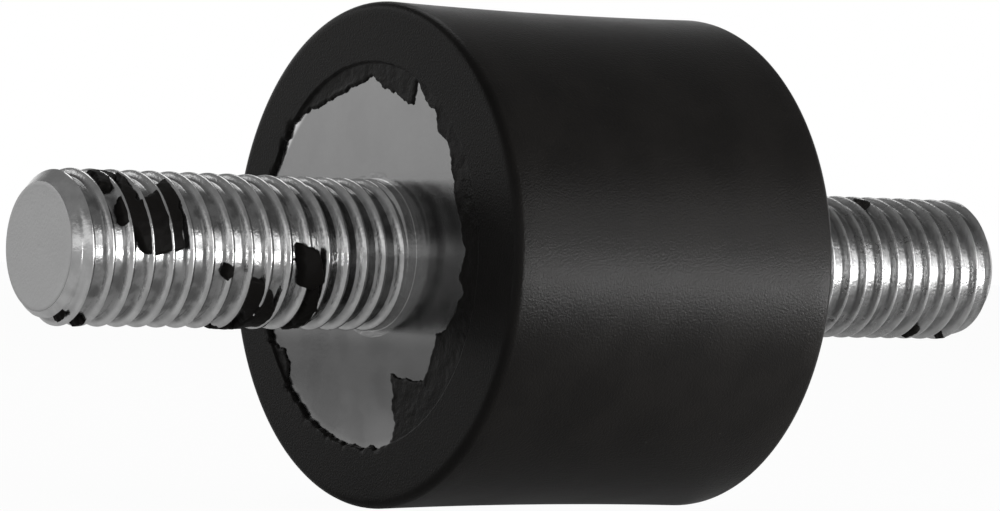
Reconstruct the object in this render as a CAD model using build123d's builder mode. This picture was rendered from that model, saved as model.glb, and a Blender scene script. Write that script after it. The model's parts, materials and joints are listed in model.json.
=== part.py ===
from build123d import *
import math
import os

# A cylindrical bobbin mount: a block of rubber moulded round a steel plate at each end, with a
# threaded stud standing out of each plate. The studs never meet, so the rubber carries the load.
# Millimetres and degrees. The stud axis is X, the origin is the middle of the rubber, +Z is up.

# ---- rubber body ----
rubber_diameter = 40.0
rubber_length = 31.0
waist_depth = 0.2        # how far the barrel draws in at mid-length, on its radius
rim_round = 0.7          # round on the two rims of the barrel
face_skin = 0.4          # rubber that covers the outer face of each plate
rim_cover = 1.5          # rubber outside the rim of each plate

# ---- end plates, stamped steel discs bonded into the rubber ----
plate_thickness = 2.5

# ---- studs, M12, each pressed through its plate from the inside ----
stud_diameter = 12.0
stud_reach = 30.0        # from the rubber's end face to the tip
tip_chamfer = 1.1
neck_step = 0.5          # how much the pressed neck is larger than the shank, on its radius
head_diameter = 18.0
head_thickness = 2.5

# ---- moulded openings, where the mould sealed on the plate and kept the stud clear ----
skin_land = 3.3          # how far the rubber reaches in over the plate from its rim
front_seal_shift = 0.5   # how far the front seal sat off the stud's axis
flash_thickness = 0.15   # thin rubber that crept under the front seal
flash_reach = 5.3        # how far in from the seal's edge the flash reaches where it reaches furthest

# ---- sizes that follow ----
rubber_radius = rubber_diameter / 2
half_length = rubber_length / 2
plate_radius = rubber_radius - rim_cover
opening_radius = plate_radius - skin_land
shank_radius = stud_diameter / 2
neck_radius = shank_radius + neck_step
head_radius = head_diameter / 2

# Places along X of the front insert; the rear insert is its mirror image.
plate_outer = -half_length + face_skin
plate_inner = plate_outer + plate_thickness
head_inner = plate_inner + head_thickness
stud_tip = -half_length - stud_reach

# The end faces, each seen from outside the mount.
front_face = Plane(origin=(-half_length, 0, 0), x_dir=(0, -1, 0), z_dir=(-1, 0, 0))
rear_face = Plane(origin=(half_length, 0, 0), x_dir=(0, 1, 0), z_dir=(1, 0, 0))

# Front plate: a stamped disc with a bore for the stud's neck.
with BuildPart() as front_plate:
    with BuildSketch(Plane.XZ):
        with BuildLine():
            Polyline(
                (plate_outer, neck_radius),
                (plate_inner, neck_radius),
                (plate_inner, plate_radius),
                (plate_outer, plate_radius),
                close=True,
            )
        make_face()
    revolve(axis=Axis.X)
front_plate.part.label = "front_plate"

# Front stud: chamfered tip, plain shank at the thread's outside diameter, a neck that fills the
# plate's bore flush with its face, and a flat head that bears on the plate's inner face.
with BuildPart() as front_stud:
    with BuildSketch(Plane.XZ):
        with BuildLine():
            Polyline(
                (stud_tip, 0),
                (stud_tip, shank_radius - tip_chamfer),
                (stud_tip + tip_chamfer, shank_radius),
                (plate_outer, shank_radius),
                (plate_outer, neck_radius),
                (plate_inner, neck_radius),
                (plate_inner, head_radius),
                (head_inner, head_radius),
                (head_inner, 0),
                close=True,
            )
        make_face()
    revolve(axis=Axis.X)
front_stud.part.label = "front_stud"

# The rear insert is the same two pieces, facing the other way.
with BuildPart() as rear_plate:
    mirror(front_plate.part, about=Plane.YZ)
rear_plate.part.label = "rear_plate"

with BuildPart() as rear_stud:
    mirror(front_stud.part, about=Plane.YZ)
rear_stud.part.label = "rear_stud"


def torn_edge():
    """The torn inner edge of the front flash, as points on the front face.

    Each entry is a direction round the seal, in degrees, and how far the flash reaches in there, as
    a share of flash_reach. Below zero, the plate is bare right up to the seal's edge.
    """
    upper_edge = [(138, -0.1), (130, 0.1), (120, 0.27), (104, 0.32), (91, 0.22), (80, 0.38), (65, 0.45)]
    upper_split = [(65.5, 0.04), (60, 0.22), (52, 0.2)]
    right_edge = [(48, 0.36), (41, 0.3), (31, 0.45), (17, 0.53), (3, 0.4), (-8, 0.49), (-12, 0.38)]
    right_edge += [(-24, 0.53), (-33, 0.74), (-42, 0.66), (-50, 0.49)]
    lower_flap = [(-60, 0.79), (-70, 1), (-71, 0.66), (-74, 0.47), (-72, 0.28)]
    bare_bottom = [(-78, -0.1), (-98, -0.15), (-117, -0.15), (-136, -0.1)]
    left_edge = [(-141, 0.17), (-147, 0.19), (-153, -0.1), (-180, -0.2), (159, -0.2)]
    points = []
    for direction, share in upper_edge + upper_split + right_edge + lower_flap + bare_bottom + left_edge:
        radius = opening_radius - share * flash_reach
        across = radius * math.cos(math.radians(direction)) - front_seal_shift
        height = radius * math.sin(math.radians(direction))
        points.append((across, height))
    return points


# Rubber body: a slightly waisted barrel, moulded tight round both inserts.
with BuildPart() as rubber_body:
    with BuildSketch(Plane.XZ) as barrel_section:
        with BuildLine():
            Polyline(
                (-half_length, rubber_radius),
                (-half_length, 0),
                (half_length, 0),
                (half_length, rubber_radius),
            )
            ThreePointArc(
                (half_length, rubber_radius),
                (0, rubber_radius - waist_depth),
                (-half_length, rubber_radius),
            )
        make_face()
        fillet(barrel_section.vertices().sort_by(Axis.Y)[-2:], radius=rim_round)
    revolve(axis=Axis.X)
    for insert in (front_plate, front_stud, rear_plate, rear_stud):
        add(insert.part, mode=Mode.SUBTRACT)

    # The front seal left a shallow round recess, with only flash over the plate inside it.
    with BuildSketch(front_face):
        with Locations((-front_seal_shift, 0)):
            Circle(opening_radius)
    extrude(amount=-(face_skin - flash_thickness), mode=Mode.SUBTRACT)

    # Inside the torn edge the flash is gone and the plate is bare.
    with BuildSketch(front_face):
        with BuildLine():
            Polyline(torn_edge(), close=True)
        make_face()
        with Locations((-front_seal_shift, 0)):
            Circle(opening_radius, mode=Mode.INTERSECT)
    extrude(amount=-face_skin, mode=Mode.SUBTRACT)

    # The rear seal closed cleanly, so its opening is a plain round one.
    with BuildSketch(rear_face):
        Circle(opening_radius)
    extrude(amount=-face_skin, mode=Mode.SUBTRACT)
rubber_body.part.label = "rubber_body"

os.makedirs("parts", exist_ok=True)
for piece in (rubber_body, front_plate, front_stud, rear_plate, rear_stud):
    export_step(piece.part, f"parts/{piece.part.label}.step")
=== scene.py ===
# %% [markdown]
# # Dressing a rubber vibration mount
# The mount is a block of black rubber with a steel plate moulded into each end and a threaded stud
# standing out of each plate. The solids come from a CAD model, packed as a fixed frame in metres.
# This lesson gives them their finish: rolled threads, torn moulding flash, smears of rubber on the
# zinc, and materials that show how each surface was made. It starts by loading the frame.

# %% Load the frame
import json
import math

import bmesh
import bpy
import numpy as np
from mathutils import Matrix, Vector, noise


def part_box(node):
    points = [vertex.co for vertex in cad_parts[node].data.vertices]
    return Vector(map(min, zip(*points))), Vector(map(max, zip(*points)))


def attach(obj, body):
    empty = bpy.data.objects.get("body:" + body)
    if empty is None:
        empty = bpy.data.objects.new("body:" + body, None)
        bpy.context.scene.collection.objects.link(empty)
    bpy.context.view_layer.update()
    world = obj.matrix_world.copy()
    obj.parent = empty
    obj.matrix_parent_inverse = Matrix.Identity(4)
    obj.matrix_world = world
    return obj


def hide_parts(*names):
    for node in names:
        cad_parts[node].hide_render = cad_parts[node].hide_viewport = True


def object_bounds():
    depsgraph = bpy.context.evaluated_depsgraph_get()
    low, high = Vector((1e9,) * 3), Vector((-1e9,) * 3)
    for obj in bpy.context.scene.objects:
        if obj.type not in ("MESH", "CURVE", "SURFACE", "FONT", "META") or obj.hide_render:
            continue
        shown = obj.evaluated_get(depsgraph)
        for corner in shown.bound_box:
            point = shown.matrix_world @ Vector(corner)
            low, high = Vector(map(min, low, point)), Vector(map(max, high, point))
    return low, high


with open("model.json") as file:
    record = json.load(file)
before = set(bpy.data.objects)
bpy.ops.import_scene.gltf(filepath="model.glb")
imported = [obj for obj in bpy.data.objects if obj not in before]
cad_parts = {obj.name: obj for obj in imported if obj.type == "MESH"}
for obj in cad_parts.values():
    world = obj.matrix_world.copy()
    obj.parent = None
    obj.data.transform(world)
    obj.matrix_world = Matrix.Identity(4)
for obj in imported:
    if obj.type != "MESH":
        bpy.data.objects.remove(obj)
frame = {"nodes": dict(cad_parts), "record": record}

cad_low, cad_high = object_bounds()
print("nodes:", sorted(frame["nodes"]))
print("overall size in mm:", [round(1000 * (b - a), 2) for a, b in zip(cad_low, cad_high)])

# %% [markdown]
# Every size is read from the frame, so the finish still fits if the CAD model changes. The stud axis
# is X. The front end, with the torn flash, points to -X, and the rear end to +X. Boxes give the
# lengths, and the radius of a bore or an opening is read from the mesh itself.

# %% Measure the solids
MM = 0.001
rubber_low, rubber_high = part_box("rubber_body")
plate_low, plate_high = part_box("front_plate")
stud_low, stud_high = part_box("front_stud")
barrel_radius = rubber_high.z
front_face_x = rubber_low.x
front_plate_x = plate_low.x
plate_radius = plate_high.z
plate_thickness = plate_high.x - plate_low.x
stud_length = plate_low.x - stud_low.x
head_radius = stud_high.z
head_thickness = stud_high.x - plate_high.x
shank_radius = frame["record"]["mounts"][0]["dims"]["r_mm"] * MM


def node_points(name):
    """The mesh points of a CAD node as an array of x, y and z."""
    return np.array([v.co for v in frame["nodes"][name].data.vertices])


plate_points = node_points("front_plate")
neck_radius = np.hypot(plate_points[:, 1], plate_points[:, 2]).min()
print("shank, neck and head radius in mm:", [round(r / MM, 2) for r in (shank_radius, neck_radius, head_radius)])
print("stud beyond its plate in mm:", round(stud_length / MM, 2))

# %% [markdown]
# ## Helpers for node trees
# Blender builds both shapes and materials from node trees. One helper adds a node and sets its
# inputs, which may be plain values or the outputs of other nodes. A second one does arithmetic.
# Both work in shader trees and in geometry trees, because Math nodes are the same in the two.


# %% Node helpers
def add_node(tree, kind, inputs=None, **settings):
    """Adds a node, sets its properties, and fills its inputs with values or links."""
    node = tree.nodes.new(kind)
    for key, value in settings.items():
        setattr(node, key, value)
    for key, value in (inputs or {}).items():
        if isinstance(value, bpy.types.NodeSocket):
            tree.links.new(value, node.inputs[key])
        else:
            node.inputs[key].default_value = value
    return node


def calc(tree, operation, *values, clamp=False):
    """The output of a Math node."""
    settings = {"operation": operation, "use_clamp": clamp}
    return add_node(tree, "ShaderNodeMath", dict(enumerate(values)), **settings).outputs[0]


def smooth_map(tree, value, from_min, from_max, to_min, to_max):
    """Maps a value smoothly from one range to another, and holds it at the ends."""
    inputs = {"Value": value, "From Min": from_min, "From Max": from_max, "To Min": to_min, "To Max": to_max}
    return add_node(tree, "ShaderNodeMapRange", inputs, interpolation_type="SMOOTHSTEP").outputs["Result"]


def new_tree(name, kind, inputs, outputs):
    """A node tree with named inputs and outputs. Each input is a name, a socket type and a value."""
    tree = bpy.data.node_groups.new(name, kind)
    for label, socket, value in inputs:
        made = tree.interface.new_socket(name=label, in_out="INPUT", socket_type=socket)
        if value is not None:
            made.default_value = value
    for label, socket in outputs:
        tree.interface.new_socket(name=label, in_out="OUTPUT", socket_type=socket)
    return tree, add_node(tree, "NodeGroupInput"), add_node(tree, "NodeGroupOutput")


print("node helpers ready")

# %% [markdown]
# ## Meshes from rings
# Most of this object was turned, pressed or moulded round one axis, so its surfaces are rings of
# points joined by strips of faces. One helper joins a stack of rings. A stack that starts or ends on
# the axis is closed there by a fan of triangles, so no hole is left.


# %% Ring helpers
def ring_angles(count):
    """The angles of count points spread evenly round a ring."""
    return np.arange(count) * 2 * math.pi / count


def strip_faces(first, second, count):
    """Faces between two rings of count points that start at the indices first and second."""
    after = [(k + 1) % count for k in range(count)]
    return [(first + k, first + after[k], second + after[k], second + k) for k in range(count)]


def rings_mesh(name, rings, start_point=None, end_point=None):
    """A mesh from rings of points, with the first and last ring closed on a point where one is given."""
    count = len(rings[0])
    points = [tuple(p) for ring in rings for p in ring]
    faces = []
    for index in range(len(rings) - 1):
        faces += strip_faces(index * count, (index + 1) * count, count)
    if start_point is not None:
        points.append(tuple(start_point))
        faces += [(len(points) - 1, (k + 1) % count, k) for k in range(count)]
    if end_point is not None:
        points.append(tuple(end_point))
        last = (len(rings) - 1) * count
        faces += [(len(points) - 1, last + k, last + (k + 1) % count) for k in range(count)]
    mesh = bpy.data.meshes.new(name)
    mesh.from_pydata(points, [], faces)
    mesh.validate()
    return mesh


def add_object(name, mesh):
    """Links a mesh into the scene as an object at the origin."""
    made = bpy.data.objects.new(name, mesh)
    bpy.context.scene.collection.objects.link(made)
    return made


def face_outwards(mesh):
    """Points every face of a closed mesh outwards, after its doubled points are merged."""
    work = bmesh.new()
    work.from_mesh(mesh)
    bmesh.ops.remove_doubles(work, verts=work.verts, dist=1e-7)
    bmesh.ops.recalc_face_normals(work, faces=work.faces)
    work.to_mesh(mesh)
    work.free()


def shade(mesh, angle_degrees):
    """Shades a mesh smooth, with a crease where two faces meet at more than the given angle."""
    mesh.polygons.foreach_set("use_smooth", [True] * len(mesh.polygons))
    mesh.set_sharp_from_angle(angle=math.radians(angle_degrees))


def baked(piece):
    """Replaces an object that has modifiers with the plain mesh that they make."""
    bpy.context.view_layer.update()
    result = piece.evaluated_get(bpy.context.evaluated_depsgraph_get())
    mesh = bpy.data.meshes.new_from_object(result)
    name, old = piece.name, piece.data
    bpy.data.objects.remove(piece)
    bpy.data.meshes.remove(old)
    mesh.name = name
    return add_object(name, mesh)


def triangles(mesh):
    """How many triangles a mesh has once it is split up."""
    mesh.calc_loop_triangles()
    return len(mesh.loop_triangles)


def open_edges(mesh):
    """How many edges of a mesh don't join exactly two faces. A closed mesh has none."""
    loops = np.zeros(len(mesh.loops), int)
    mesh.loops.foreach_get("edge_index", loops)
    return int((np.bincount(loops, minlength=len(mesh.edges)) != 2).sum())


print("ring helpers ready")

# %% [markdown]
# ## Materials
# Each surface is told apart by how it was made. Rubber takes the fine grain of its mould and a dull
# bloom. The plates are sheet steel, smooth and slightly stained, with painted shade below the stud and a
# ring painted bright as glints. The studs are rolled and then zinc plated, so their crests shine, and their
# roots are darkened as grime and painted shade. What these share is a speckle and a grain,
# so both are node groups, built once, and each material gives them its own sizes.


# %% Shared grain and speckle groups
def make_grain_group():
    """Noise in two sizes that gives a height and a mask, from a position in metres."""
    tree, start, end = new_tree(
        "surface_grain", "ShaderNodeTree",
        [("Position", "NodeSocketVector", None), ("Fine Size mm", "NodeSocketFloat", 0.1),
         ("Coarse Size mm", "NodeSocketFloat", 2.0), ("Coarse Share", "NodeSocketFloat", 0.4)],
        [("Height", "NodeSocketFloat"), ("Patches", "NodeSocketFloat")])
    fine_scale = calc(tree, "DIVIDE", 1000.0, start.outputs["Fine Size mm"])
    coarse_scale = calc(tree, "DIVIDE", 1000.0, start.outputs["Coarse Size mm"])
    place = start.outputs["Position"]
    fine = add_node(tree, "ShaderNodeTexNoise", {"Vector": place, "Scale": fine_scale, "Detail": 3.0})
    coarse = add_node(tree, "ShaderNodeTexNoise", {"Vector": place, "Scale": coarse_scale, "Detail": 4.0})
    share = start.outputs["Coarse Share"]
    height = add_node(tree, "ShaderNodeMix", {0: share, 2: fine.outputs[0], 3: coarse.outputs[0]})
    tree.links.new(height.outputs[0], end.inputs["Height"])
    patches = smooth_map(tree, coarse.outputs[0], 0.35, 0.65, 0.0, 1.0)
    tree.links.new(patches, end.inputs["Patches"])
    return tree


def make_speck_group():
    """Scattered round specks, as a mask. Few cells hold a speck, and each differs in size."""
    tree, start, end = new_tree(
        "scattered_specks", "ShaderNodeTree",
        [("Position", "NodeSocketVector", None), ("Spacing mm", "NodeSocketFloat", 2.0),
         ("Speck Share", "NodeSocketFloat", 0.3), ("Speck Size", "NodeSocketFloat", 0.1)],
        [("Mask", "NodeSocketFloat")])
    scale = calc(tree, "DIVIDE", 1000.0, start.outputs["Spacing mm"])
    cells = add_node(tree, "ShaderNodeTexVoronoi", {"Vector": start.outputs["Position"], "Scale": scale})
    pick = add_node(tree, "ShaderNodeSeparateColor", {0: cells.outputs["Color"]})
    kept = calc(tree, "LESS_THAN", pick.outputs[0], start.outputs["Speck Share"])
    size = calc(tree, "MULTIPLY", start.outputs["Speck Size"], calc(tree, "ADD", 0.4, pick.outputs[1]))
    inside = calc(tree, "SUBTRACT", 1.0, calc(tree, "DIVIDE", cells.outputs["Distance"], size), clamp=True)
    sharp = smooth_map(tree, inside, 0.0, 0.35, 0.0, 1.0)
    tree.links.new(calc(tree, "MULTIPLY", sharp, kept), end.inputs["Mask"])
    return tree


GRAIN, SPECKS = make_grain_group(), make_speck_group()
print("shared groups:", GRAIN.name, SPECKS.name)


# %% Material helpers
def new_material(name, **settings):
    """A material with one Principled shader. Settings are its inputs, named with underscores."""
    material = bpy.data.materials.new(name)
    material.use_nodes = True
    tree = material.node_tree
    tree.nodes.clear()
    shader = add_node(tree, "ShaderNodeBsdfPrincipled")
    for key, value in settings.items():
        shader.inputs[key.replace("_", " ")].default_value = value
    end = add_node(tree, "ShaderNodeOutputMaterial")
    tree.links.new(shader.outputs[0], end.inputs["Surface"])
    place = add_node(tree, "ShaderNodeTexCoord").outputs["Object"]
    return material, tree, shader, place


def use_group(tree, group, place, **inputs):
    """Places a node group in a material, with its inputs named with underscores."""
    node = add_node(tree, "ShaderNodeGroup", node_tree=group)
    tree.links.new(place, node.inputs["Position"])
    for key, value in inputs.items():
        node.inputs[key.replace("_", " ")].default_value = value
    return node


def blend_colors(tree, factor, first, second):
    """A colour that goes from first to second as the factor goes from 0 to 1."""
    node = add_node(tree, "ShaderNodeMix", data_type="RGBA")
    for index, value in ((0, factor), (6, first), (7, second)):
        if isinstance(value, bpy.types.NodeSocket):
            tree.links.new(value, node.inputs[index])
        else:
            node.inputs[index].default_value = value
    return node.outputs[2]


def plain(value):
    """A grey as a colour with full alpha."""
    return (value, value, value, 1.0)


def length_of(tree, across, up):
    """The length of the sides across and up together, such as a point's distance from the axis."""
    squares = [calc(tree, "POWER", side, 2.0) for side in (across, up)]
    return calc(tree, "SQRT", calc(tree, "ADD", *squares))


def set_bump(tree, shader, height, depth_mm, strength=1.0):
    """Feeds a height from 0 to 1 into the shader's normal, as a relief of the given depth."""
    bump = add_node(tree, "ShaderNodeBump", {"Height": height, "Distance": depth_mm * MM, "Strength": strength})
    tree.links.new(bump.outputs["Normal"], shader.inputs["Normal"])


print("material helpers ready")

# %% [markdown]
# ### Rubber
# Moulded rubber is nearly black and reflects little. What shows its surface is the sheen: a fine
# grain from the mould breaks it up, and faint clouds of bloom change how dull it is. A strong
# reflection would look like plastic, so the specular level stays low.


# %% Rubber materials
CLEAN_RUBBER = (0.0082, 0.0076, 0.0072, 1)
BLOOMED_RUBBER = (0.0102, 0.0094, 0.0088, 1)
DUST_ON_RUBBER = (0.03, 0.029, 0.027, 1)


def make_rubber(name, roughness, level):
    """Moulded black rubber with a fine grain, cloudy bloom and scattered dust."""
    material, tree, shader, place = new_material(name, Specular_IOR_Level=level)
    grain = use_group(tree, GRAIN, place, Fine_Size_mm=0.16, Coarse_Size_mm=5.0, Coarse_Share=0.12)
    dust = use_group(tree, SPECKS, place, Spacing_mm=1.7, Speck_Share=0.10, Speck_Size=0.07)
    clouds = blend_colors(tree, grain.outputs["Patches"], CLEAN_RUBBER, BLOOMED_RUBBER)
    color = blend_colors(tree, dust.outputs["Mask"], clouds, DUST_ON_RUBBER)
    tree.links.new(color, shader.inputs["Base Color"])
    dull = smooth_map(tree, grain.outputs["Patches"], 0.0, 1.0, roughness - 0.01, roughness + 0.02)
    tree.links.new(dull, shader.inputs["Roughness"])
    set_bump(tree, shader, grain.outputs["Height"], 0.05, 0.7)
    return material


RUBBER = make_rubber("moulded_black_rubber", roughness=0.29, level=0.08)
SMEAR = make_rubber("smeared_rubber", roughness=0.45, level=0.03)
print("rubber materials:", RUBBER.name, SMEAR.name)

# %% [markdown]
# ### Steel plates
# The bare part of each plate is smooth sheet steel. It has small pits and a few dark stains, and
# painted shade darkens it below the stud. Where the mould's sealing ring pressed on it, a ring is
# painted nearly white, partly as burnish and mostly as painted glints. Pits and stains could be modelled, but at
# this size masks look the same.


# %% Plate material
STAIN = (0.06, 0.055, 0.05, 1)


def make_plate_steel(name, seal_shift, seal_radius):
    """Grey sheet steel, with pits and stains, painted shade below the stud, and a ring of the given radius painted
    bright as burnish and painted glints.
    """
    material, tree, shader, place = new_material(name, Metallic=1.0)
    grain = use_group(tree, GRAIN, place, Fine_Size_mm=0.35, Coarse_Size_mm=5.0, Coarse_Share=0.5)
    pits = use_group(tree, SPECKS, place, Spacing_mm=1.6, Speck_Share=0.22, Speck_Size=0.13)
    stains = use_group(tree, SPECKS, place, Spacing_mm=4.5, Speck_Share=0.2, Speck_Size=0.10)
    marks = calc(tree, "MAXIMUM", calc(tree, "MULTIPLY", pits.outputs["Mask"], 0.55), stains.outputs["Mask"])
    axis = add_node(tree, "ShaderNodeSeparateXYZ", {0: place})
    across = calc(tree, "SUBTRACT", axis.outputs["Y"], seal_shift)
    radius = length_of(tree, across, axis.outputs["Z"])
    from_seal = calc(tree, "ABSOLUTE", calc(tree, "SUBTRACT", radius, seal_radius))
    ring = smooth_map(tree, from_seal, 0.0, 0.7 * MM, 1.0, 0.0)
    # Painted highlight: the ring is strongest at the top, where the glints show on the seal's edge.
    ring = calc(tree, "MULTIPLY", ring, smooth_map(tree, axis.outputs["Z"], 6.0 * MM, 9.0 * MM, 0.1, 1.0))
    steel = blend_colors(tree, grain.outputs["Patches"], plain(0.24), plain(0.28))
    below = smooth_map(tree, axis.outputs["Z"], -7.5 * MM, -5.0 * MM, 1.0, 0.0)
    # Painted shade: the plate is darkened below the stud, where the stud's reflection and shadow fall, and it fades
    # towards the edge of the plate.
    painted_shade_below_stud = calc(tree, "MULTIPLY", below, smooth_map(tree, axis.outputs["Z"], -15.0 * MM, -9.0 * MM, 0.15, 0.7))
    steel = blend_colors(tree, painted_shade_below_stud, steel, plain(0.09))
    # The seal ring is painted near white: partly burnish, mostly a painted glint.
    bright = blend_colors(tree, ring, steel, plain(0.85))
    color = blend_colors(tree, marks, bright, STAIN)
    tree.links.new(color, shader.inputs["Base Color"])
    dull = smooth_map(tree, grain.outputs["Patches"], 0.0, 1.0, 0.16, 0.22)
    tree.links.new(dull, shader.inputs["Roughness"])
    relief = calc(tree, "SUBTRACT", calc(tree, "MULTIPLY", grain.outputs["Height"], 0.5), marks)
    set_bump(tree, shader, relief, 0.03, 0.4)
    return material


SEAL_RADIUS, SEAL_SHIFT = 15.2 * MM, 0.5 * MM
FRONT_STEEL = make_plate_steel("pressed_plate_steel", SEAL_SHIFT, SEAL_RADIUS)
REAR_STEEL = make_plate_steel("pressed_plate_steel_rear", 0.0, SEAL_RADIUS)
for node_name, steel in (("front_plate", FRONT_STEEL), ("rear_plate", REAR_STEEL)):
    slots = frame["nodes"][node_name].data.materials
    slots.clear()
    slots.append(steel)
    print(node_name, "is", steel.name)

# %% [markdown]
# ### Zinc-plated threads
# Rolling leaves the crests smooth, and handling polishes them. The roots are darker, partly as grime
# and mould release and partly as painted shade for the shadow in the grooves. The distance from the axis
# tells a crest from a root, so the material needs no image mask. The cut tip is duller than the thread.


# %% Thread material
ROOT_GRIME_SHADE_FULL, ROOT_GRIME_SHADE_NONE = 5.42 * MM, 5.80 * MM
TIP_GREY, NECK_GREY = plain(0.48), plain(0.27)


def make_zinc(name, tip_x, crest_tint, root_tint, roughness, pit_depth_mm):
    """Zinc plate that darkens from crest to root, as grime and painted shade, with a matte face at the tip."""
    material, tree, shader, place = new_material(name, Metallic=1.0)
    grain = use_group(tree, GRAIN, place, Fine_Size_mm=0.25, Coarse_Size_mm=1.6, Coarse_Share=0.5)
    axis = add_node(tree, "ShaderNodeSeparateXYZ", {0: place})
    radius = length_of(tree, axis.outputs["Y"], axis.outputs["Z"])
    depth = smooth_map(tree, radius, ROOT_GRIME_SHADE_FULL, ROOT_GRIME_SHADE_NONE, 1.0, 0.0)
    to_tip = calc(tree, "ABSOLUTE", calc(tree, "SUBTRACT", axis.outputs["X"], tip_x))
    at_tip = calc(tree, "LESS_THAN", to_tip, 0.07 * MM)
    # The roots are darkened in the colour, partly as grime and partly as painted shade for the grooves' shadow.
    root_grime_and_shade = calc(tree, "MULTIPLY", depth, smooth_map(tree, grain.outputs["Patches"], 0.0, 1.0, 0.55, 1.0))
    root_grime_and_shade = calc(tree, "MULTIPLY", root_grime_and_shade, smooth_map(tree, to_tip, 0.9 * MM, 1.5 * MM, 0.0, 1.0))
    crest = blend_colors(tree, grain.outputs["Patches"], plain(crest_tint), plain(crest_tint * 1.25))
    color = blend_colors(tree, root_grime_and_shade, crest, plain(root_tint))
    color = blend_colors(tree, at_tip, color, TIP_GREY)
    on_neck = calc(tree, "GREATER_THAN", radius, shank_radius + 0.02 * MM)
    color = blend_colors(tree, on_neck, color, NECK_GREY)
    tree.links.new(color, shader.inputs["Base Color"])
    worn = smooth_map(tree, grain.outputs["Height"], 0.3, 0.7, roughness - 0.05, roughness + 0.08)
    rough = calc(tree, "MAXIMUM", worn, calc(tree, "MULTIPLY", at_tip, 0.5))
    tree.links.new(rough, shader.inputs["Roughness"])
    set_bump(tree, shader, grain.outputs["Height"], pit_depth_mm, 0.7)
    return material


rear_tip_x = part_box("rear_stud")[1].x
FRONT_ZINC = make_zinc("bright_zinc_plate", stud_low.x, crest_tint=0.56, root_tint=0.20,
                       roughness=0.19, pit_depth_mm=0.05)
REAR_ZINC = make_zinc("dull_zinc_plate", rear_tip_x, crest_tint=0.38, root_tint=0.19,
                      roughness=0.30, pit_depth_mm=0.10)
print("zinc materials:", FRONT_ZINC.name, REAR_ZINC.name)

# %% [markdown]
# ## Threaded studs
# Each stud is one steel pressing: a head inside the rubber, a neck through the plate, a short plain
# collar, then an M12 thread with a chamfered tip. The thread could be cut with a swept profile, but a
# sheet of points that follows the helix keeps every crest clean and closes without a boolean. Geometry
# Nodes make that sheet. Its rows run along the thread, so a row holds one depth of the profile all the
# way round.


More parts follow.
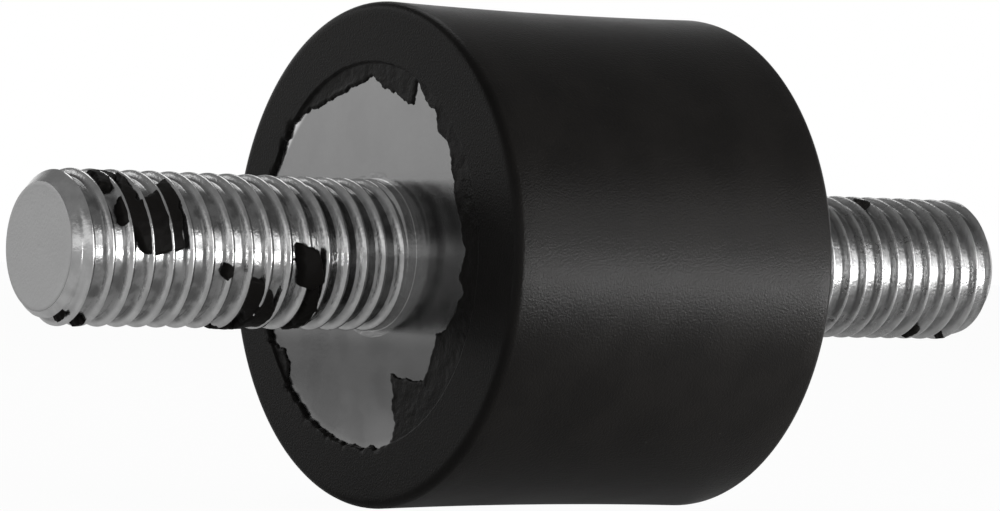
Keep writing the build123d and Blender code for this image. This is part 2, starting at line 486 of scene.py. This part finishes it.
# %% Thread tree
def make_thread_tree():
    """A tree that joins a helical thread to the turned blank that it receives."""
    tree, start, end = new_tree(
        "rolled_thread", "GeometryNodeTree",
        [("Blank", "NodeSocketGeometry", None), ("Direction", "NodeSocketFloat", 1.0),
         ("Start", "NodeSocketFloat", 0.0), ("Length", "NodeSocketFloat", 0.03),
         ("Pitch", "NodeSocketFloat", 0.00175), ("Crest Radius", "NodeSocketFloat", 0.006),
         ("Root Radius", "NodeSocketFloat", 0.005), ("Collar", "NodeSocketFloat", 0.0007),
         ("Run Out", "NodeSocketFloat", 0.0006), ("Tip Radius", "NodeSocketFloat", 0.0049),
         ("Tip Slope", "NodeSocketFloat", 1.0), ("Start Phase", "NodeSocketFloat", 0.0),
         ("Crest Share", "NodeSocketFloat", 0.04), ("Flank Share", "NodeSocketFloat", 0.62),
         ("Waver", "NodeSocketFloat", 0.00001), ("Turns", "NodeSocketInt", 18),
         ("Rows Per Turn", "NodeSocketInt", 20), ("Columns", "NodeSocketInt", 144),
         ("Finish", "NodeSocketMaterial", None)],
        [("Stud", "NodeSocketGeometry")])
    put = start.outputs
    bands = calc(tree, "ADD", put["Turns"], 1.0)
    rows = calc(tree, "ADD", calc(tree, "MULTIPLY", bands, put["Rows Per Turn"]), 1.0)
    columns = calc(tree, "ADD", put["Columns"], 1.0)
    sheet = add_node(tree, "GeometryNodeMeshGrid", {
        "Size X": 1.0, "Size Y": 1.0, "Vertices X": rows, "Vertices Y": columns})
    spot = add_node(tree, "ShaderNodeSeparateXYZ", {0: add_node(tree, "GeometryNodeInputPosition").outputs[0]})
    along = calc(tree, "ADD", spot.outputs["X"], 0.5)
    around = calc(tree, "ADD", spot.outputs["Y"], 0.5)
    # A point's distance from the plate grows by one pitch in each turn.
    band = calc(tree, "MULTIPLY", along, bands)
    travel = calc(tree, "MULTIPLY", calc(tree, "SUBTRACT", calc(tree, "ADD", band, around), 1.0), put["Pitch"])
    travel = calc(tree, "MINIMUM", calc(tree, "MAXIMUM", travel, 0.0), put["Length"])
    # The profile is a narrow rounded crest and a wide flat root, shallower than a cut thread. Both
    # shares are distances from the middle of the crest, in half pitches.
    phase = calc(tree, "FRACT", calc(tree, "ADD", band, put["Start Phase"]))
    from_crest = calc(tree, "ABSOLUTE", calc(tree, "SUBTRACT", calc(tree, "MULTIPLY", phase, 2.0), 1.0))
    flank = smooth_map(tree, from_crest, put["Crest Share"], put["Flank Share"], 1.0, 0.0)
    turn = calc(tree, "MULTIPLY", around, 2.0 * math.pi)
    ring = add_node(tree, "ShaderNodeCombineXYZ", {
        "X": calc(tree, "MULTIPLY", travel, 700.0), "Y": calc(tree, "COSINE", turn), "Z": calc(tree, "SINE", turn)})
    wave = add_node(tree, "ShaderNodeTexNoise", {"Vector": ring.outputs[0], "Scale": 2.0, "Detail": 2.0})
    waver = calc(tree, "MULTIPLY", calc(tree, "SUBTRACT", wave.outputs[0], 0.5), put["Waver"])
    height = calc(tree, "SUBTRACT", put["Crest Radius"], put["Root Radius"])
    root = calc(tree, "ADD", put["Root Radius"], waver)
    thread = calc(tree, "ADD", root, calc(tree, "MULTIPLY", flank, height))
    cut = smooth_map(tree, calc(tree, "SUBTRACT", travel, put["Collar"]), 0.0, put["Run Out"], 0.0, 1.0)
    radius = add_node(tree, "ShaderNodeMix", {0: cut, 2: put["Crest Radius"], 3: thread}).outputs[0]
    to_tip = calc(tree, "SUBTRACT", put["Length"], travel)
    ceiling = calc(tree, "ADD", put["Tip Radius"], calc(tree, "MULTIPLY", to_tip, put["Tip Slope"]))
    radius = calc(tree, "MINIMUM", radius, ceiling)
    x = calc(tree, "ADD", put["Start"], calc(tree, "MULTIPLY", travel, put["Direction"]))
    y = calc(tree, "MULTIPLY", radius, calc(tree, "COSINE", turn))
    z = calc(tree, "MULTIPLY", calc(tree, "MULTIPLY", radius, calc(tree, "SINE", turn)), put["Direction"])
    place = add_node(tree, "ShaderNodeCombineXYZ", {"X": x, "Y": y, "Z": z})
    moved = add_node(tree, "GeometryNodeSetPosition", {
        "Geometry": sheet.outputs["Mesh"], "Position": place.outputs[0]})
    outward = add_node(tree, "GeometryNodeFlipFaces", {"Mesh": moved.outputs[0]})
    joined = add_node(tree, "GeometryNodeJoinGeometry")
    tree.links.new(outward.outputs[0], joined.inputs[0])
    tree.links.new(put["Blank"], joined.inputs[0])
    merged = add_node(tree, "GeometryNodeMergeByDistance", {"Geometry": joined.outputs[0], "Distance": 2e-6})
    smooth = add_node(tree, "GeometryNodeSetShadeSmooth", {"Geometry": merged.outputs[0]})
    real = add_node(tree, "GeometryNodeRealizeInstances", {"Geometry": smooth.outputs[0]})
    finish = add_node(tree, "GeometryNodeSetMaterial", {"Geometry": real.outputs[0], "Material": put["Finish"]})
    tree.links.new(finish.outputs[0], end.inputs["Stud"])
    return tree


THREAD_TREE = make_thread_tree()
print("thread tree:", len(THREAD_TREE.nodes), "nodes")

# %% [markdown]
# The blank is everything but the thread, as a lathe would leave it. Its rings have as many points as
# the thread has columns, and they start at the same angle, so the two meet point to point and merge
# into one closed piece. The tip face isn't quite flat: the shear that cut the bar left it uneven.

# %% Stud sizes
THREAD = {"Pitch": 1.75 * MM, "Crest Radius": 5.98 * MM, "Root Radius": 5.38 * MM, "Collar": 0.75 * MM,
          "Run Out": 0.5 * MM, "Waver": 0.03 * MM, "Crest Share": 0.04, "Flank Share": 0.62,
          "Rows Per Turn": 20, "Columns": 144}
TIP_EDGE = 0.08 * MM
TIP_RADIUS = 4.92 * MM
CHAMFER = 1.1 * MM
THREAD["Length"] = stud_length - TIP_EDGE
THREAD["Turns"] = math.ceil(THREAD["Length"] / THREAD["Pitch"])
THREAD["Tip Radius"] = TIP_RADIUS
THREAD["Tip Slope"] = (shank_radius - TIP_RADIUS) / CHAMFER
print("thread turns:", THREAD["Turns"], "length in mm:", round(THREAD["Length"] / MM, 2))


# %% Turned blanks
def stud_ring(face_x, direction, travel, radius, columns):
    """A ring of points round the axis, at a distance from the plate along the stud."""
    angles = ring_angles(columns)
    return np.stack([np.full(columns, face_x + direction * travel), radius * np.cos(angles),
                     direction * radius * np.sin(angles)], axis=1)


def sheared_face(points, direction, seed):
    """Sinks the points of a tip face slightly, most where the shear tore the bar."""
    for point in points:
        place = Vector((point[1], point[2], seed * MM)) * 260
        inside = 1 - (math.hypot(point[1], point[2]) / TIP_RADIUS) ** 4
        point[0] -= direction * inside * (0.05 + 0.05 * noise.noise(place)) * MM
    return points


def make_blank(name, face_x, direction, seed):
    """The head, neck and tip face of a stud, open only where the thread joins it."""
    columns = THREAD["Columns"]
    # The edge of the tip face is broken in small steps, from the end of the thread to the face.
    tip = [stud_ring(face_x, direction, THREAD["Length"], TIP_RADIUS, columns),
           stud_ring(face_x, direction, stud_length - 0.02 * MM, TIP_RADIUS - 0.03 * MM, columns)]
    for share in np.linspace(1.0, 0.04, 22):
        ring = stud_ring(face_x, direction, stud_length, (TIP_RADIUS - 0.09 * MM) * share, columns)
        tip.append(sheared_face(ring, direction, seed))
    tip_point = (face_x + direction * (stud_length - 0.06 * MM), 0, 0)
    base = [stud_ring(face_x, direction, -travel, radius, columns) for travel, radius in (
        (0, THREAD["Crest Radius"]), (0, neck_radius), (plate_thickness, neck_radius),
        (plate_thickness, head_radius), (plate_thickness + head_thickness, head_radius))]
    base_point = (face_x - direction * (plate_thickness + head_thickness), 0, 0)
    work = bmesh.new()
    for rings, point in ((tip, tip_point), (base, base_point)):
        part = rings_mesh(name + "_part", rings, end_point=point)
        work.from_mesh(part)
        bpy.data.meshes.remove(part)
    mesh = bpy.data.meshes.new(name)
    work.to_mesh(mesh)
    work.free()
    return mesh


def make_stud(name, face_x, direction, start_phase, finish, seed):
    """A threaded stud as a plain closed mesh."""
    piece = add_object(name, make_blank(name, face_x, direction, seed))
    modifier = piece.modifiers.new("thread", "NODES")
    modifier.node_group = THREAD_TREE
    values = dict(THREAD, Direction=float(direction), Start=face_x, Finish=finish)
    values["Start Phase"] = start_phase
    for item in THREAD_TREE.interface.items_tree:
        if item.in_out == "INPUT" and item.name in values:
            modifier[item.identifier] = values[item.name]
    piece = baked(piece)
    face_outwards(piece.data)
    shade(piece.data, 50)
    print(name, "triangles:", triangles(piece.data), "open edges:", open_edges(piece.data))
    return piece


# %% Front and rear studs
rear_plate_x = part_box("rear_plate")[1].x
front_stud = make_stud("front_threaded_stud", front_plate_x, -1, 0.35, FRONT_ZINC, 3)
rear_stud = make_stud("rear_threaded_stud", rear_plate_x, 1, 0.1, REAR_ZINC, 8)

# %% [markdown]
# ## Moulded rubber
# The rubber is moulded round both plates. At the front a thin skin of flash crept under the mould's
# sealing ring and was torn away by hand, so its edge is ragged and it curls. The rear opening is
# clean. The body is made of rings from the front to the rear, and the rings of the front face follow
# the seal, which sat a little off the axis. Each point of the front face then takes its depth from its
# distance to the torn edge, which is read from the CAD solid and roughened with noise.


# %% Torn edge
def torn_outline():
    """The edges of the opening where the rubber ends on the front plate, as pairs of y and z."""
    mesh = frame["nodes"]["rubber_body"].data
    points = node_points("rubber_body")
    flat = np.abs(points[:, 0] - front_plate_x) < 1e-6
    uses = {}
    for polygon in mesh.polygons:
        corners = list(polygon.vertices)
        if all(flat[c] for c in corners):
            keys = [tuple(np.round(points[c, 1:] / MM, 4)) for c in corners]
            for first, second in zip(keys, keys[1:] + keys[:1]):
                uses[frozenset((first, second))] = uses.get(frozenset((first, second)), 0) + 1
    edges = [tuple(edge) for edge, count in uses.items() if count == 1 and len(edge) == 2]
    return np.array([e for e in edges if max(math.hypot(*e[0]), math.hypot(*e[1])) < plate_radius / MM - 0.5]) * MM


TORN = torn_outline()
print("torn edge pieces:", len(TORN))


def distance_into_rubber(y, z):
    """Signed distance from each point to the torn edge: positive on rubber, negative on bare plate."""
    spot = np.stack([y, z], axis=1)
    first, second = TORN[:, 0], TORN[:, 1]
    span = second - first
    nearest = np.full(len(spot), 1.0)
    crossings = np.zeros(len(spot), int)
    for start, step in zip(first, span):
        away = spot - start
        share = np.clip((away @ step) / (step @ step), 0, 1)
        nearest = np.minimum(nearest, np.linalg.norm(away - share[:, None] * step, axis=1))
        above = (start[1] > spot[:, 1]) != (start[1] + step[1] > spot[:, 1])
        if abs(step[1]) > 1e-12:
            meet = start[0] + (spot[:, 1] - start[1]) * step[0] / step[1]
            crossings += (above & (spot[:, 0] < meet)).astype(int)
    return np.where(crossings % 2 == 1, -nearest, nearest)


# %% [markdown]
# Noise gives the torn edge its small lobes, and lets the flash wrinkle where it was pulled. A second,
# finer noise roughens the lip that the sealing ring left. All of it is seeded by position alone, so
# each run makes the same mesh.


# %% Front face relief
def ruffle(points, size_mm, seed):
    """Smooth noise from -1 to 1 at each (y, z) point, with features of about the given size."""
    return np.array([noise.noise(Vector((y / (size_mm * MM), z / (size_mm * MM), seed))) for y, z in points])


# Depths below the rubber's end: its skin over the plate, the flash inside the seal, and the part of
# the blank that the plate will cut away.
SKIN_DEPTH = front_plate_x - front_face_x
FLASH_DEPTH = 0.25 * MM
BARE_DEPTH = SKIN_DEPTH + 0.10 * MM


def front_depth(y, z):
    """Depth of the front face below the rubber's end, at points round the opening."""
    flat = np.stack([y, z], axis=1)
    shift_y = 0.28 * ruffle(flat, 0.9, 1.3) + 0.16 * ruffle(flat, 0.35, 7.7)
    shift_z = 0.28 * ruffle(flat, 0.9, 4.1) + 0.16 * ruffle(flat, 0.35, 9.2)
    into = distance_into_rubber(y + shift_y * MM, z + shift_z * MM) / MM
    seal = np.hypot(y - SEAL_SHIFT, z) / MM - SEAL_RADIUS / MM
    wrinkle = 0.035 * ruffle(flat, 1.1, 2.9) + 0.02 * ruffle(flat, 0.4, 6.6)
    curl = 0.07 * np.clip(1 - np.abs(into - 0.25) / 0.25, 0, 1) * (0.6 + ruffle(flat, 2.2, 8.4))
    flash = FLASH_DEPTH / MM - wrinkle - curl
    # The seal's lip rises to the skin over a short rounded step, a little chewed by the tearing.
    rise = np.clip((seal + 0.05 * ruffle(flat, 0.6, 5.5)) / 0.16 + 0.5, 0, 1)
    covered = flash * (1 - rise * rise * (3 - 2 * rise))
    edge = np.clip(into / 0.16, 0, 1)
    depth = SKIN_DEPTH / MM + (covered - SKIN_DEPTH / MM) * np.sqrt(edge)
    bare = np.clip(-into / 0.08, 0, 1)
    return (depth + (BARE_DEPTH / MM - SKIN_DEPTH / MM) * bare) * MM


# %% Rings of the body
RUBBER_COLUMNS = 560
RIM_ROUND = 0.7 * MM
WAIST = 0.2 * MM
OPENING_MOUTH = 9.2 * MM
RELIEF_FROM, RELIEF_TO = 9.0 * MM, 16.0 * MM


def body_profile():
    """The turned outline from the front rim to the rear opening, as pairs of x and radius."""
    outline = []
    for angle in np.radians([0, 15, 30, 45, 60, 75, 90]):
        outline.append((front_face_x + RIM_ROUND * (1 - math.cos(angle)),
                        barrel_radius - RIM_ROUND * (1 - math.sin(angle))))
    half = -front_face_x - RIM_ROUND
    for share in np.linspace(-1, 1, 22)[1:-1]:
        outline.append((share * half, barrel_radius - WAIST * (1 - share * share)))
    outline += [(-x, r) for x, r in reversed(outline[:7])]
    return outline


def front_face_rings():
    """Rings from the middle of the front face to its rim, centred on the seal and then on the axis."""
    # The radii in mm are close together on the flash, closest at the seal's lip, and wide elsewhere.
    radii = [4.0, 7.0, 8.6] + list(np.arange(OPENING_MOUTH / MM, 15.0, 0.11))
    radii += [15.05, 15.10, 15.15, 15.20, 15.25, 15.30, 15.36, 15.5, 15.8, 16.2, 16.9, 17.7, 18.5, 19.0]
    angles = ring_angles(RUBBER_COLUMNS)
    rings = []
    for radius in radii:
        centred = 1 - np.clip((radius - 16.2) / 1.5, 0, 1)
        y = radius * MM * np.cos(angles) + SEAL_SHIFT * centred
        z = radius * MM * np.sin(angles)
        if RELIEF_FROM < radius * MM < RELIEF_TO:
            depth = front_depth(y, z)
        else:
            depth = np.full(len(y), BARE_DEPTH if radius * MM < RELIEF_FROM else 0.0)
        rings.append(np.stack([front_face_x + depth, y, z], axis=1))
    return rings


def turned_ring(x, radius):
    """A plain ring round the axis with the rubber's number of columns."""
    angles = ring_angles(RUBBER_COLUMNS)
    return np.stack([np.full(RUBBER_COLUMNS, x), radius * np.cos(angles), radius * np.sin(angles)], axis=1)


rear_x = -front_face_x
rear_opening = [(rear_x, 18.0 * MM), (rear_x, 16.4 * MM), (rear_x, 15.35 * MM), (rear_x - 0.05 * MM, 15.24 * MM),
                (rear_x - 0.15 * MM, 15.2 * MM), (rear_x - BARE_DEPTH, 15.18 * MM), (rear_x - BARE_DEPTH, 9.0 * MM)]
rubber_rings = front_face_rings() + [turned_ring(x, r) for x, r in body_profile() + rear_opening]
front_middle, rear_middle = (front_face_x + BARE_DEPTH, 0, 0), (rear_x - BARE_DEPTH, 0, 0)
rubber_mesh = rings_mesh("moulded_rubber", rubber_rings, front_middle, rear_middle)
rubber_piece = add_object("moulded_rubber", rubber_mesh)
face_outwards(rubber_mesh)
print("rubber blank triangles:", triangles(rubber_mesh), "open edges:", open_edges(rubber_mesh))

# %% [markdown]
# The blank is solid, so the plates and the heads of the studs are now cut out of it. The cut uses
# merged copies of the CAD solids, so the rubber ends exactly where the steel begins, and the torn
# edge appears where the front face dips under the plate. The boolean needs closed meshes, which is
# why the blank was closed on the axis at both ends.


# %% Cut the cavities
def merged_copy(name):
    """A closed mesh object that copies a CAD node, with its loose triangles merged."""
    work = bmesh.new()
    work.from_mesh(frame["nodes"][name].data)
    bmesh.ops.remove_doubles(work, verts=work.verts, dist=1e-7)
    mesh = bpy.data.meshes.new("cutter")
    work.to_mesh(mesh)
    work.free()
    return add_object("cutter", mesh)


for insert in ("front_plate", "rear_plate", "front_stud", "rear_stud"):
    cutter = merged_copy(insert)
    cut = rubber_piece.modifiers.new("cavity", "BOOLEAN")
    cut.operation, cut.object, cut.solver = "DIFFERENCE", cutter, "MANIFOLD"
    rubber_piece = baked(rubber_piece)
    bpy.data.objects.remove(cutter)
rubber_piece.data.materials.clear()
rubber_piece.data.materials.append(RUBBER)
shade(rubber_piece.data, 40)
print("rubber triangles:", triangles(rubber_piece.data), "open edges:", open_edges(rubber_piece.data))

# %% [markdown]
# ## Rubber smears on the threads
# Some uncured rubber was squeezed or wiped onto the studs. It fills the roots, and only the tallest
# crests stand through it, so it reads as black stripes. Painting it would leave it flat, so each
# smear is a thin closed pad. Its top is a small height field wrapped round the stud. It sinks into
# the steel at its border, where the thread itself cuts a natural edge.

# %% Smear outlines
# Each smear has corners, as (distance from the rubber in mm, degrees above the camera's side), and the
# radius of its top in mm.
FRONT_SMEARS = (
    ([(23.8, 85), (23.9, 63), (24.1, 39), (22.4, 50), (20.5, 69), (20.2, 58), (20.5, 27), (20.6, 0), (21.3, -2),
      (22.5, -4), (23.4, -7), (24.3, -1), (25.2, 17), (26.2, 20), (26.0, 38)], 5.93),
    ([(20.2, 20), (19.8, 19), (19.7, 1), (20.0, 0)], 5.86),
    ([(25.1, 84), (24.5, 70), (25.9, 52), (26.9, 55), (26.5, 82)], 5.97),
    ([(17.0, -8), (16.1, -9), (16.0, -20), (16.5, -24), (17.1, -20)], 6.02),
    ([(14.7, -21), (13.2, -23), (11.6, -38), (10.6, -60), (10.2, -82), (12.2, -84), (13.6, -62), (14.9, -40)], 5.90),
    ([(13.1, -40), (12.3, -42), (12.2, -84), (13.2, -86)], 6.02),
    ([(10.4, 8), (8.4, 3), (7.8, -26), (8.9, -30), (9.9, -27)], 6.10),
    ([(8.9, -22), (8.0, -24), (7.3, -50), (6.9, -84), (8.6, -86), (8.7, -55)], 5.98),
    ([(29.3, -62), (28.7, -64), (28.7, -80), (29.3, -78)], 5.85),
    ([(27.4, -72), (26.6, -74), (26.7, -88), (27.5, -86)], 6.02),
    ([(14.6, -80), (12.4, -80), (12.2, -100), (14.8, -100)], 6.03))
REAR_SMEARS = (
    ([(17.6, 82), (16.9, 70), (18.2, 62), (18.7, 66)], 6.0),
    ([(24.2, -62), (23.6, -66), (23.4, -84), (24.1, -80)], 6.0),
    ([(28.0, -74), (27.4, -75), (27.5, -88), (28.1, -86)], 6.0))
ROOT_OF_SMEAR = 4.7
PAD_CELL, PAD_BORDER, PAD_SKIRT = 0.13, 0.4, 0.2
print("smears:", len(FRONT_SMEARS), "front and", len(REAR_SMEARS), "rear")


# %% Smear pads
def inside_distance(along, across, corners):
    """Distance in mm from a point to an outline, positive inside it."""
    inside, nearest = False, 1e9
    for (a0, b0), (a1, b1) in zip(corners, corners[1:] + corners[:1]):
        if (b0 > across) != (b1 > across) and along < a0 + (across - b0) * (a1 - a0) / (b1 - b0):
            inside = not inside
        length = (a1 - a0) ** 2 + (b1 - b0) ** 2
        share = min(max(((along - a0) * (a1 - a0) + (across - b0) * (b1 - b0)) / length, 0), 1)
        nearest = min(nearest, math.hypot(along - a0 - share * (a1 - a0), across - b0 - share * (b1 - b0)))
    return nearest if inside else -nearest


def add_pad(work, face_x, direction, corners, top):
    """Adds one closed smear to a bmesh, in small cells. Sizes inside are in mm."""
    flat = [(along, math.radians(turn) * shank_radius / MM) for along, turn in corners]
    low = [min(p[i] for p in flat) - PAD_BORDER for i in (0, 1)]
    high = [max(p[i] for p in flat) + PAD_BORDER for i in (0, 1)]
    counts = [max(4, int((b - a) / PAD_CELL)) for a, b in zip(low, high)]
    outer, inner = {}, {}
    for i in range(counts[0] + 1):
        for j in range(counts[1] + 1):
            along = low[0] + (high[0] - low[0]) * i / counts[0]
            across = low[1] + (high[1] - low[1]) * j / counts[1]
            wander = Vector((along * 0.9, across * 0.9, top))
            drift = [0.3 * noise.noise(v) for v in (wander, wander.yxz)]
            depth = inside_distance(along + drift[0], across + drift[1], flat)
            depth += 0.12 * noise.noise(wander * 3.1)
            rise = min(max(depth / 0.3 + 0.35, 0), 1)
            radius = ROOT_OF_SMEAR + PAD_SKIRT + (top - ROOT_OF_SMEAR - PAD_SKIRT) * rise ** 0.5
            radius += 0.05 * rise * noise.noise(wander * 1.7)
            angle = across / (shank_radius / MM)
            for store, size in ((outer, radius), (inner, ROOT_OF_SMEAR)):
                store[i, j] = work.verts.new((
                    face_x + direction * along * MM, -size * MM * math.cos(angle), size * MM * math.sin(angle)))
    for i in range(counts[0]):
        for j in range(counts[1]):
            square = [(i, j), (i + 1, j), (i + 1, j + 1), (i, j + 1)]
            work.faces.new([outer[k] for k in square])
            work.faces.new([inner[k] for k in reversed(square)])
    border = [(i, 0) for i in range(counts[0])] + [(counts[0], j) for j in range(counts[1])]
    border += [(i, counts[1]) for i in range(counts[0], 0, -1)] + [(0, j) for j in range(counts[1], 0, -1)]
    for first, second in zip(border, border[1:] + border[:1]):
        work.faces.new((outer[second], outer[first], inner[first], inner[second]))


def make_smears(name, face_x, direction, smears):
    """All the smears of one stud as one mesh of closed pads."""
    work = bmesh.new()
    for corners, top in smears:
        add_pad(work, face_x, direction, corners, top)
    bmesh.ops.recalc_face_normals(work, faces=work.faces)
    mesh = bpy.data.meshes.new(name)
    work.to_mesh(mesh)
    work.free()
    mesh.materials.append(SMEAR)
    shade(mesh, 70)
    print(name, "triangles:", triangles(mesh), "open edges:", open_edges(mesh))
    return add_object(name, mesh)


front_smears = make_smears("front_stud_smears", front_face_x, -1, FRONT_SMEARS)
rear_smears = make_smears("rear_stud_smears", rear_x, 1, REAR_SMEARS)

# %% [markdown]
# ## Camera, floor and light
# The camera looks along the mount from its front left, level with the stud. Its place and turn come
# from matching the rims of the rubber, the stud and the plate. The floor is plain and pale, and it
# keeps a soft shadow. What the camera and mirrors see of floor and world is white by Light Path, so
# the lamps can stay at a plain level.

# %% Camera
scene = bpy.context.scene
centre = Vector((rubber_low + rubber_high) / 2)
CAMERA_OFFSET = Vector((-224.908, -308.314, 0.210)) * MM
CAMERA_RIGHT = Vector((0.811116, -0.584296, 0.026248))
CAMERA_UP = Vector((-0.021298, 0.015342, 0.999655))
CAMERA_BACK = Vector((-0.584498, -0.811395, 0.0))
lens = bpy.data.cameras.new("camera")
lens.lens = 170.42
lens.sensor_width = 36.0
lens.clip_start = 0.01
lens.clip_end = 10.0
camera = bpy.data.objects.new("camera", lens)
turn = Matrix((CAMERA_RIGHT, CAMERA_UP, CAMERA_BACK)).transposed().to_4x4()
camera.matrix_world = Matrix.Translation(centre + CAMERA_OFFSET) @ turn
scene.collection.objects.link(camera)
scene.camera = camera
print("camera distance in mm:", round(CAMERA_OFFSET.length / MM, 1))


# %% Floor and world
def seen_directly(tree, camera_share, mirror_share):
    """How much of the white shows where the camera looks, and in a mirror or glass. It is 0 for other light."""
    path = add_node(tree, "ShaderNodeLightPath").outputs
    mirrored = calc(tree, "MAXIMUM", path["Is Glossy Ray"], path["Is Transmission Ray"])
    looked_at = calc(tree, "MULTIPLY", path["Is Camera Ray"], camera_share)
    return calc(tree, "MAXIMUM", looked_at, calc(tree, "MULTIPLY", mirrored, mirror_share))


def make_floor(height):
    """A wide pale floor that shows nearly white and keeps the object's soft shadow."""
    material, tree, shader, place = new_material("pale_floor", Roughness=0.9)
    shader.inputs["Base Color"].default_value = plain(0.8)
    glow = add_node(tree, "ShaderNodeEmission", {"Color": plain(1.0), "Strength": 1.0})
    # A small share of the lit floor still shows, and the object's shadow with it.
    white_share = seen_directly(tree, 0.96, 0.08)
    mixed = add_node(tree, "ShaderNodeMixShader", {0: white_share, 1: shader.outputs[0], 2: glow.outputs[0]})
    output = next(n for n in tree.nodes if n.type == "OUTPUT_MATERIAL")
    tree.links.new(mixed.outputs[0], output.inputs["Surface"])
    reach = 4.0
    corners = [(-reach, -reach, height), (reach, -reach, height), (reach, reach, height), (-reach, reach, height)]
    mesh = bpy.data.meshes.new("floor")
    mesh.from_pydata(corners, [], [(0, 1, 2, 3)])
    mesh.materials.append(material)
    return add_object("floor", mesh)


floor = make_floor(cad_low.z - 0.02 * MM)
world = bpy.data.worlds.new("studio")
scene.world = world
world.use_nodes = True
studio = world.node_tree
studio.nodes.clear()
ambient = add_node(studio, "ShaderNodeBackground", {"Color": plain(1.0), "Strength": 0.35})
# White walls up to a darker ceiling, so the tops of the studs don't mirror pure white.
toward = add_node(studio, "ShaderNodeTexCoord").outputs["Generated"]
rise = add_node(studio, "ShaderNodeSeparateXYZ", {0: toward}).outputs["Z"]
ceiling = smooth_map(studio, rise, 0.05, 0.55, 0.0, 1.0)
walls = blend_colors(studio, ceiling, plain(1.0), plain(0.22))
white = add_node(studio, "ShaderNodeBackground", {"Color": walls, "Strength": 1.0})
either = add_node(studio, "ShaderNodeMixShader", {
    0: seen_directly(studio, 1.0, 1.0), 1: ambient.outputs[0], 2: white.outputs[0]})
add_node(studio, "ShaderNodeOutputWorld", {"Surface": either.outputs[0]})
scene.view_settings.view_transform = "Standard"
print("floor at", round(cad_low.z / MM, 2), "mm")


# %% Softboxes
def softbox(name, direction, distance, width, height, radiance):
    """A rectangular lamp that faces the object from a direction, as bright as its radiance says."""
    data = bpy.data.lights.new(name, "AREA")
    data.shape = "RECTANGLE"
    data.size, data.size_y = width, height
    data.energy = radiance * math.pi * width * height
    made = bpy.data.objects.new(name, data)
    away = Vector(direction).normalized()
    facing = away.to_track_quat("Z", "Y").to_matrix().to_4x4()
    made.matrix_world = Matrix.Translation(centre + away * distance) @ facing
    made.visible_camera = False
    scene.collection.objects.link(made)
    return made


# The strip draws the narrow glints on the studs and the sheen line of the rubber. The others fill in.
softbox("side_strip", (0.577, -0.817, -0.12), distance=0.10, width=0.11, height=0.014, radiance=19.0)
softbox("side_softbox", (0.577, -0.817, 0.24), distance=0.5, width=0.26, height=0.17, radiance=3.0)
softbox("back_left_softbox", (-0.577, 0.80, 0.45), distance=0.6, width=0.25, height=0.20, radiance=1.2)
softbox("top_softbox", (0.2, 0.5, 0.85), distance=0.6, width=0.3, height=0.3, radiance=1.6)

# %% [markdown]
# ## Hand the pieces to the frame
# Every piece rides on a body of the CAD model, and the CAD solid that it stands for is hidden. The
# smears ride on the same body.

# %% Ride and replace
for piece, node, slot_name in (
        (rubber_piece, "rubber_body", "rubber"), (front_stud, "front_stud", "zinc_bright"),
        (rear_stud, "rear_stud", "zinc_dull")):
    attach(piece, "root")
    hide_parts(node)
for piece in (front_smears, rear_smears):
    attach(piece, "root")
